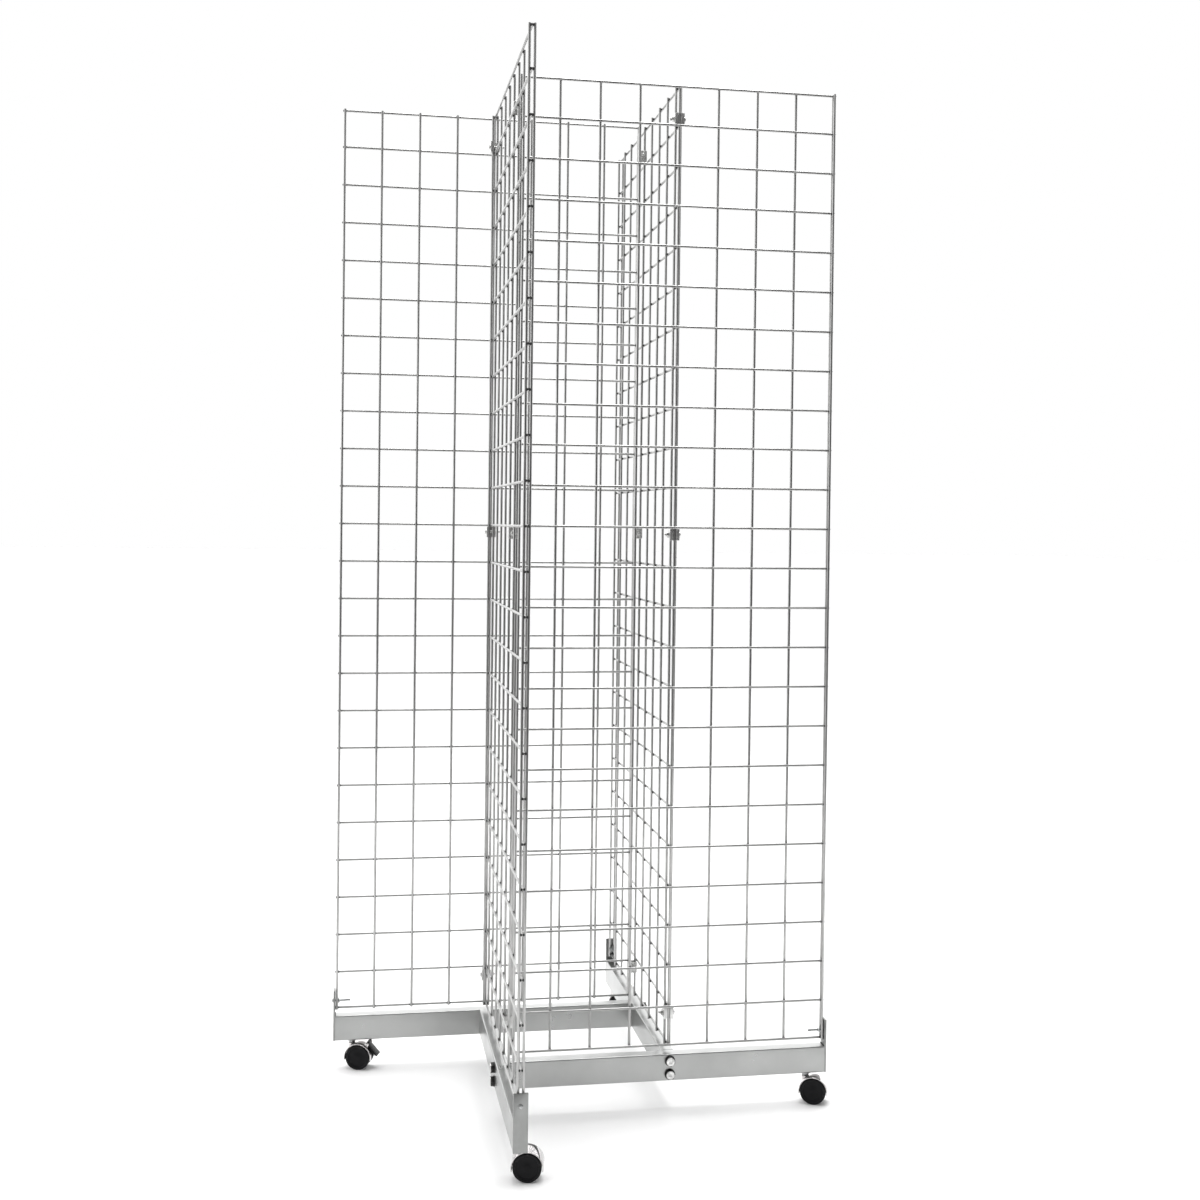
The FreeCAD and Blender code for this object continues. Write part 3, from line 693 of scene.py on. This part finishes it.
def front_clips(node):
    """The boxes of a clip node's solids on the front side."""
    panel_y = (PANEL_LOW.y + PANEL_HIGH.y) / 2
    found = [b for b in islands(node) if abs((b[0].y + b[1].y) / 2 - panel_y) < NEAR_PANEL
             and b[0].x < PANEL_LOW.x + NEAR_CLIP]
    return sorted(found, key=lambda b: b[0].z)


class DISPLAY_OT_clips(bpy.types.Operator):
    """Makes the clips that join each panel's inner edge to the next panel"""
    bl_idname = "display.clips"
    bl_label = "Edge Clips"

    def execute(self, context):
        fixings = context.scene.display_fixings
        for node, outward, name in (("clip_outer_jaws", -1, "clip_outer_plates"),
                                    ("clip_inner_jaws", 1, "clip_inner_plates")):
            whole = bmesh.new()
            for low, high in front_clips(node):
                join(whole, self.jaw(low, high, outward, fixings))
            make_fitting(name, whole, ("clip_plating",), node)
        screws = bmesh.new()
        for low, high in front_clips("clip_screws"):
            x, z = (low.x + high.x) / 2, (low.z + high.z) / 2
            radius = fixings.clip_screw / 2
            face = PANEL_LOW.y - fixings.clip_sheet
            head = pan_head((high.x - low.x) / 2, Vector((x, face, z)), Vector((x, low.y, z)),
                            fixings.pan_dome)
            turns = int((high.y - face) / fixings.clip_pitch) - 1
            shank = moved(thread(radius, fixings.clip_pitch, turns), laid((x, high.y, z), "X"))
            join(screws, head, shank)
        make_fitting("clip_pan_screws", screws, ("bright_plating",), "clip_screws")
        nuts = bmesh.new()
        for low, high in front_clips("clip_nuts"):
            x, z = (low.x + high.x) / 2, (low.z + high.z) / 2
            nut = hexagon(fixings.clip_nut, Vector((x, low.y, z)), Vector((x, high.y, z)),
                          CLIP_NUT_TURN)
            join(nuts, soften(nut, BOLT_EDGE, 2))
        make_fitting("clip_hex_nuts", nuts, ("bright_plating",), "clip_nuts")
        return {"FINISHED"}

    @staticmethod
    def jaw(low, high, outward, fixings):
        """A sheet with a lip folded towards the wires along one edge."""
        sheet = fixings.clip_sheet
        plate = block(Vector((low.x, high.y - sheet if outward > 0 else low.y, low.z)),
                      Vector((high.x, high.y if outward > 0 else low.y + sheet, high.z)))
        lip_end = low.x + fixings.clip_lip
        bmesh.ops.bisect_plane(plate, geom=plate.verts[:] + plate.edges[:] + plate.faces[:],
                               plane_co=(lip_end, 0, 0), plane_no=X_DIR)
        strip = [f for f in plate.faces
                 if f.normal.y * outward < -FACING and f.calc_center_median().x < lip_end]
        lip = bmesh.ops.extrude_face_region(plate, geom=strip)["geom"]
        reach = -outward * (high.y - low.y - sheet)
        bmesh.ops.translate(plate, vec=(0, reach, 0),
                            verts=[v for v in lip if isinstance(v, bmesh.types.BMVert)])
        bmesh.ops.delete(plate, geom=[f for f in strip if f.is_valid], context="FACES")
        bmesh.ops.recalc_face_normals(plate, faces=plate.faces)
        return soften(plate, CLIP_EDGE, 3, BOLD)


def caster_place(side):
    """The matrix that carries a caster drawn at the origin, trailing to +X, to its place, and the
    middle of its axle before that. The axle's height is the wheels' radius."""
    stem = Vector(JOINTS["caster_swivel_" + side]["pos_m"])
    axle = Vector(JOINTS["wheel_near_roll_" + side]["pos_m"])
    trail = Vector((axle.x - stem.x, axle.y - stem.y, 0))
    turn = math.atan2(trail.y, trail.x)
    place = Matrix.Translation((stem.x, stem.y, 0)) @ Matrix.Rotation(turn, 4, "Z")
    return place, Vector((trail.length, 0, axle.z))


def own_points(side, node):
    """A node's vertices in the caster's own frame."""
    inverse = caster_place(side)[0].inverted()
    return [inverse @ v.co for v in frame["nodes"][node].data.vertices]


def is_braked(side):
    """Whether a side's caster has a brake lever."""
    return "brake_press_" + side in JOINTS


def brake_pin_place(side):
    """The lever's pin in the caster's own frame."""
    place, _ = caster_place(side)
    return place.inverted() @ Vector(JOINTS["brake_press_" + side]["pos_m"])


class DISPLAY_OT_casters(bpy.types.Operator):
    """Makes the casters' hoods, webs and sockets, and the lugs for the brake levers"""
    bl_idname = "display.casters"
    bl_label = "Caster Bodies"

    def execute(self, context):
        caster = context.scene.display_caster
        for side in SIDES:
            self.body(caster, side)
        return {"FINISHED"}

    def body(self, caster, side):
        """One caster's hood, web, socket and lugs."""
        place, axle = caster_place(side)
        radius = axle.z
        inner = radius + caster.hood_gap
        outer = inner + caster.hood_wall
        half_width = max(p.y for p in own_points(side, "caster_body_" + side))
        lip = -math.asin((caster.hood_drop - LIP_SHORT) / outer)
        whole = bmesh.new()

        def strip(low, high, start, end, steps):
            shape = washer_ring(inner, outer, low, high, steps, end - start)
            soften(shape, caster.hood_rolled, 3)
            return moved(shape, laid(axle, "X") @ Matrix.Rotation(start, 4, "Z"))

        if is_braked(side):
            pin = brake_pin_place(side)
            gap = caster.lever_width / 2 + caster.lever_play
            window = math.acos((pin.x - caster.lever_barrel / 2 - caster.lever_play - axle.x) / outer)
            join(whole, strip(-half_width, half_width, window, math.pi - lip, 48),
                 strip(-half_width, -gap, lip, window + HOOD_LAP, 22),
                 strip(gap, half_width, lip, window + HOOD_LAP, 22))
            for end in (-1, 1):
                join(whole, self.lug(caster, axle, pin, gap, end, outer))
            web_start = window
        else:
            join(whole, strip(-half_width, half_width, lip, math.pi - lip, 64))
            web_start = 0.0
        half = caster.web / 2
        web = washer_ring(caster.bore / 2, inner + LIP_SHORT, -half, half, 36, math.pi - web_start)
        join(whole, moved(soften(web, WEB_EDGE),
                          laid(axle, "X") @ Matrix.Rotation(web_start, 4, "Z")))
        disc = washer_ring(0.0, radius - caster.web_margin, -half, half)
        join(whole, moved(soften(disc, DISC_EDGE, 3), laid(axle, "X")))
        stem_low = radius + math.sqrt(inner ** 2 - axle.x ** 2)
        socket = rod(caster.socket / 2, Z_DIR * stem_low, Z_DIR * top_of_socket(side), 40)
        join(whole, soften(socket, SOCKET_EDGE, 3),
             rod(half * NECK_SHARE, Z_DIR * radius, Z_DIR * (stem_low + caster.sunk), 40))
        make_piece("caster_hood_" + side, moved(whole, place), ("hood_chrome",), "caster_" + side,
                   ["caster_body_" + side])

    @staticmethod
    def lug(caster, axle, pin, gap, end, outer):
        """One of the two lugs beside the brake lever."""
        near, far = end * gap, end * (gap + caster.ear)
        knuckle = rod(caster.ear_height, Vector((pin.x, near, pin.z)),
                      Vector((pin.x, far, pin.z)), 28)
        out = Vector((pin.x - axle.x, 0, pin.z - axle.z))
        angle = math.atan2(out.z, out.x)
        foot = block(Vector((outer - caster.sunk, min(near, far), -caster.ear_height)),
                     Vector((out.length, max(near, far), caster.ear_height)))
        moved(foot, Matrix.Translation(axle) @ Matrix.Rotation(-angle, 4, "Y"))
        return join(soften(knuckle, WEB_EDGE), soften(foot, WEB_EDGE))


def top_of_socket(side):
    """The socket ends just under the stem's hexagon."""
    return max(p.z for p in own_points(side, "caster_body_" + side) if p.xy.length < NEAR_STEM)


class DISPLAY_OT_stems(bpy.types.Operator):
    """Makes the casters' stems and the flanges under the bars"""
    bl_idname = "display.stems"
    bl_label = "Caster Stems"

    def execute(self, context):
        caster = context.scene.display_caster
        for side in SIDES:
            place, _ = caster_place(side)
            low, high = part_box("caster_stem_" + side)
            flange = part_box("stem_flanges")[0].z
            hex_low = top_of_socket(side) + STEM_CLEAR
            stem = hexagon(caster.stem_hexagon, Z_DIR * hex_low, Z_DIR * flange, STEM_TURN)
            pin = rod(caster.stem / 2, Z_DIR * low.z, Z_DIR * (hex_low + STEM_LAP))
            screw = rod(caster.stem_thread / 2, Z_DIR * (flange - STEM_LAP), Z_DIR * high.z)
            join(soften(stem, STEM_EDGE, 2), soften(pin, WEB_EDGE),
                 soften(screw, THREAD_EDGE))
            make_piece("swivel_stem_" + side, moved(stem, place), ("screw_plating",), "frame",
                       ["caster_stem_" + side])
        flange_low, flange_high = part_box("stem_flanges")
        rings = bmesh.new()
        for side in SIDES:
            place, _ = caster_place(side)
            ring = washer_ring(caster.stem_thread / 2 * FLANGE_HOLE, caster.flange / 2,
                               flange_low.z, flange_high.z)
            join(rings, moved(soften(ring, NUT_EDGE), place))
        make_piece("stem_thin_flanges", rings, ("screw_plating",), "frame",
                   ["stem_flanges"])
        return {"FINISHED"}


class DISPLAY_OT_wheels(bpy.types.Operator):
    """Makes the twin wheels and the caps in their faces"""
    bl_idname = "display.wheels"
    bl_label = "Wheels and Caps"

    def execute(self, context):
        caster = context.scene.display_caster
        for side in SIDES:
            place, axle = caster_place(side)
            for end, sign in (("near", -1), ("far", 1)):
                node = "caster_wheel_%s_%s" % (end, side)
                across = [abs(p.y) for p in own_points(side, node)]
                wheel, cap = self.shapes(caster, axle.z, min(across), max(across))
                # the lathe's +Z is the outer face; this lays it along the axle
                lay = Matrix.Translation(axle) @ Matrix.Rotation(-sign * QUARTER, 4, "X")
                body = "wheel_%s_%s" % (end, side)
                make_piece("twin_wheel_%s_%s" % (end, side), moved(wheel, place @ lay),
                           ("tread_black",), body, [node])
                make_piece("face_cap_%s_%s" % (end, side), moved(cap, place @ lay), ("cap_black",),
                           body, ["wheel_cap_%s_%s" % (end, side)])
        return {"FINISHED"}

    @staticmethod
    def shapes(caster, radius, near, far):
        """A wheel and its cap about Z, open towards the origin."""
        cap_radius = radius - caster.cap_inset
        seat = far - caster.cap_recess - caster.cap_thickness
        floor = seat - caster.cup_floor
        bore, hub = caster.bore / 2, caster.hub / 2
        wheel = lathe(((bore, near), (hub, near), (hub, floor), (radius - caster.rim, floor),
                       (radius - caster.rim, near), (radius, near), (radius, far), (cap_radius, far),
                       (cap_radius, seat), (bore, seat)), 64)
        tread = [e for e in wheel.edges if abs(e.verts[0].co.z - e.verts[1].co.z) < MELT
                 and all(abs(v.co.xy.length - radius) < SAME_PLACE for v in e.verts)]
        rounded(wheel, tread, caster.tread_edge, 6)
        soften(wheel, WHEEL_EDGE, 2, BOLD)
        face = seat + caster.cap_thickness
        rim = cap_radius - caster.cap_gap
        edge, groove, bowl, boss = (rim * part for part in CAP_RINGS)
        cap = lathe(((0.0, seat), (rim, seat), (rim, face), (edge, face),
                     (groove, face - caster.cap_groove), (bowl, face - caster.cap_bowl),
                     (boss, face - caster.cap_boss), (0.0, face)), 64)
        return wheel, soften(cap, CAP_EDGE, 2, SLIGHT)


class DISPLAY_OT_levers(bpy.types.Operator):
    """Makes the brake levers"""
    bl_idname = "display.levers"
    bl_label = "Brake Levers"

    def execute(self, context):
        caster = context.scene.display_caster
        for side in SIDES:
            if is_braked(side):
                self.lever(caster, side)
        return {"FINISHED"}

    @staticmethod
    def lever(caster, side):
        """A barrel on the pin, with the pedal and the shoe as two arms."""
        place, axle = caster_place(side)
        pin = brake_pin_place(side)
        reach = (pin - axle).length
        half = caster.lever_width / 2
        thick = caster.lever_arm / 2
        barrel = rod(caster.lever_barrel / 2, Vector((pin.x, -half, pin.z)),
                     Vector((pin.x, half, pin.z)), 32)
        whole = soften(barrel, STEM_EDGE)
        for angle, far, ribs in ((caster.pedal_angle, reach + caster.pedal_reach, caster.ribs),
                                 (caster.shoe_angle, reach, 0)):
            tip = axle + Vector((far * math.cos(angle), 0, far * math.sin(angle)))
            run = tip - pin
            arm = block(Vector((0, -half, -thick)), Vector((run.length + thick, half, thick)))
            ends = [e for e in arm.edges if all(v.co.x > run.length for v in e.verts)
                    and abs(e.verts[0].co.y - e.verts[1].co.y) > half]
            rounded(arm, ends, thick * ROUND_SHARE, 5)
            soften(arm, WEB_EDGE, 2, BOLD)
            for i in range(ribs):
                x = run.length * (FIRST_RIB + RIB_STEP * i)
                side_reach = half * RIB_SHARE
                join(arm, rod(caster.rib, Vector((x, -side_reach, thick)),
                              Vector((x, side_reach, thick)), 10))
            angle_of_run = math.atan2(run.z, run.x)
            join(whole, moved(arm, Matrix.Translation(pin) @ Matrix.Rotation(-angle_of_run, 4, "Y")))
        make_piece("brake_pedal_" + side, moved(whole, place), ("lever_black",), "brake_" + side,
                   ["brake_lever_" + side])


class DISPLAY_OT_kept(bpy.types.Operator):
    """Gives a finish to the CAD pieces that stay as they are: end plugs, weld nuts, axles and pins"""
    bl_idname = "display.kept"
    bl_label = "Plugs, Nuts and Pins"

    def execute(self, context):
        for node in frame["nodes"].values():
            if node.hide_render:
                continue
            plating = finish("screw_plating")
            if node.data.materials:
                for i in range(len(node.data.materials)):
                    node.data.materials[i] = plating
            else:
                node.data.materials.append(plating)
        return {"FINISHED"}


# the floor's half width and how far it reaches in front of the display, in metres
FLOOR_HALF, FLOOR_IN_FRONT = 30.0, 1.25
# name, watts, width, place and what it points at
LIGHTS = (
    ("top_light", 190.0, 3.0, (0.5, 0.5, 5.2), (0, 0, 0.6)),
    ("left_light", 40.0, 2.6, (-4.2, -2.2, 2.6), (0, 0, 1.0)),
)
# the room's brightness: axis, where it starts and stops changing, and the two strengths
SKY = (("Y", (-0.80, 0.50), 0.10, 1.9), ("Z", (0.70, 0.98), 0.0, 1.15), ("X", (0.75, 0.95), 1.0, 0.4))
CAMERA_TURNS = (10.43, -0.80, 0.69)    # to the right, up and rolled, in degrees
CAMERA_PLACE, CAMERA_LENS, CAMERA_SHIFT = (-0.4736, -3.0433, 1.1159), 46.55, (-0.018, -0.0453)


class DISPLAY_OT_stage(bpy.types.Operator):
    """Makes the floor, the lights and the camera"""
    bl_idname = "display.stage"
    bl_label = "Stage"

    def execute(self, context):
        scene = context.scene
        bm = bmesh.new()
        # the floor ends in front, so that the wires mirror the dim room there and not more floor
        bmesh.ops.create_grid(bm, x_segments=1, y_segments=1, size=FLOOR_HALF,
                              matrix=Matrix.Translation((0, FLOOR_HALF - FLOOR_IN_FRONT, 0)))
        mesh = bpy.data.meshes.new("floor")
        bm.to_mesh(mesh)
        bm.free()
        floor = bpy.data.objects.new("floor", mesh)
        scene.collection.objects.link(floor)
        paint = bpy.data.materials.new("pale_floor")
        paint.use_nodes = True
        shader = paint.node_tree.nodes["Principled BSDF"]
        shader.inputs["Base Color"].default_value = (*scene.display_looks.floor, 1.0)
        shader.inputs["Roughness"].default_value = 0.9
        shader.inputs["Specular IOR Level"].default_value = 0.0
        mesh.materials.append(paint)
        self.sky(scene)
        for name, power, size, place, aim in LIGHTS:
            light = bpy.data.lights.new(name, "AREA")
            light.energy = power
            light.size = size
            lamp = bpy.data.objects.new(name, light)
            lamp.location = place
            turn = (Vector(aim) - Vector(place)).to_track_quat("-Z", "Y")
            lamp.rotation_euler = turn.to_euler()
            scene.collection.objects.link(lamp)
        self.camera(scene)
        scene.view_settings.view_transform = "Standard"
        return {"FINISHED"}

    @staticmethod
    def sky(scene):
        """A white studio: bright above and behind, and dimmer on the camera's side."""
        world = bpy.data.worlds.new("studio")
        scene.world = world
        world.use_nodes = True
        tree = world.node_tree
        nodes, links = tree.nodes, tree.links
        place = nodes.new("ShaderNodeTexCoord")
        split = nodes.new("ShaderNodeSeparateXYZ")
        links.new(place.outputs["Generated"], split.inputs["Vector"])
        depth, above, right = (fade(tree, split.outputs[axis], limits, least, most, smooth=True)
                               for axis, limits, least, most in SKY)
        strength = depth
        for operation, other in (("MULTIPLY", right), ("MAXIMUM", above)):
            both = nodes.new("ShaderNodeMath")
            both.operation = operation
            links.new(strength, both.inputs[0])
            links.new(other, both.inputs[1])
            strength = both.outputs["Value"]
        # the camera sees a plain white wall in every direction
        ray = nodes.new("ShaderNodeLightPath")
        shown = nodes.new("ShaderNodeMix")
        links.new(ray.outputs["Is Camera Ray"], shown.inputs["Factor"])
        links.new(strength, shown.inputs["A"])
        shown.inputs["B"].default_value = 1.0
        back = nodes["Background"]
        links.new(shown.outputs["Result"], back.inputs["Strength"])
        back.inputs["Color"].default_value = (1.0, 1.0, 1.0, 1.0)

    @staticmethod
    def camera(scene):
        """A long view from in front and a little to the left, at chest height."""
        data = bpy.data.cameras.new("camera")
        camera = bpy.data.objects.new("camera", data)
        scene.collection.objects.link(camera)
        scene.camera = camera
        azimuth, pitch, roll = (math.radians(turn) for turn in CAMERA_TURNS)
        forward = Vector((math.sin(azimuth) * math.cos(pitch), math.cos(azimuth) * math.cos(pitch),
                          math.sin(pitch)))
        level = Vector((math.cos(azimuth), -math.sin(azimuth), 0))
        upward = level.cross(forward)
        right = level * math.cos(roll) + upward * math.sin(roll)
        up = upward * math.cos(roll) - level * math.sin(roll)
        turn = Matrix((right, up, -forward)).transposed().to_4x4()
        camera.matrix_world = Matrix.Translation(CAMERA_PLACE) @ turn
        data.sensor_fit = "HORIZONTAL"
        data.sensor_width = 36.0
        data.lens = CAMERA_LENS
        data.shift_x, data.shift_y = CAMERA_SHIFT
        data.clip_start = 0.05


class DISPLAY_PT_panel(bpy.types.Panel):
    """Lists the display's pieces in the 3D view's sidebar"""
    bl_idname = "DISPLAY_PT_panel"
    bl_label = "Wire Grid Display"
    bl_space_type = "VIEW_3D"
    bl_region_type = "UI"
    bl_category = "Display"

    def draw(self, context):
        for operator in OPERATORS:
            self.layout.operator(operator.bl_idname)


GROUPS = {
    "display_grid": DISPLAY_PG_grid,
    "display_base": DISPLAY_PG_base,
    "display_fixings": DISPLAY_PG_fixings,
    "display_caster": DISPLAY_PG_caster,
    "display_looks": DISPLAY_PG_looks,
}
OPERATORS = (
    DISPLAY_OT_panels,
    DISPLAY_OT_bars,
    DISPLAY_OT_plates,
    DISPLAY_OT_clamps,
    DISPLAY_OT_bolts,
    DISPLAY_OT_clips,
    DISPLAY_OT_casters,
    DISPLAY_OT_stems,
    DISPLAY_OT_wheels,
    DISPLAY_OT_levers,
    DISPLAY_OT_kept,
    DISPLAY_OT_stage,
)


def register():
    for group in GROUPS.values():
        bpy.utils.register_class(group)
    for name, group in GROUPS.items():
        setattr(bpy.types.Scene, name, bpy.props.PointerProperty(type=group))
    for operator in OPERATORS:
        bpy.utils.register_class(operator)
    bpy.utils.register_class(DISPLAY_PT_panel)


def unregister():
    bpy.utils.unregister_class(DISPLAY_PT_panel)
    for operator in reversed(OPERATORS):
        bpy.utils.unregister_class(operator)
    for name, group in GROUPS.items():
        delattr(bpy.types.Scene, name)
        bpy.utils.unregister_class(group)


def main():
    """Makes the whole display."""
    register()
    for operator in OPERATORS:
        group, name = operator.bl_idname.split(".")
        getattr(getattr(bpy.ops, group), name)()
    bpy.context.view_layer.update()


if __name__ == "__main__":
    main()
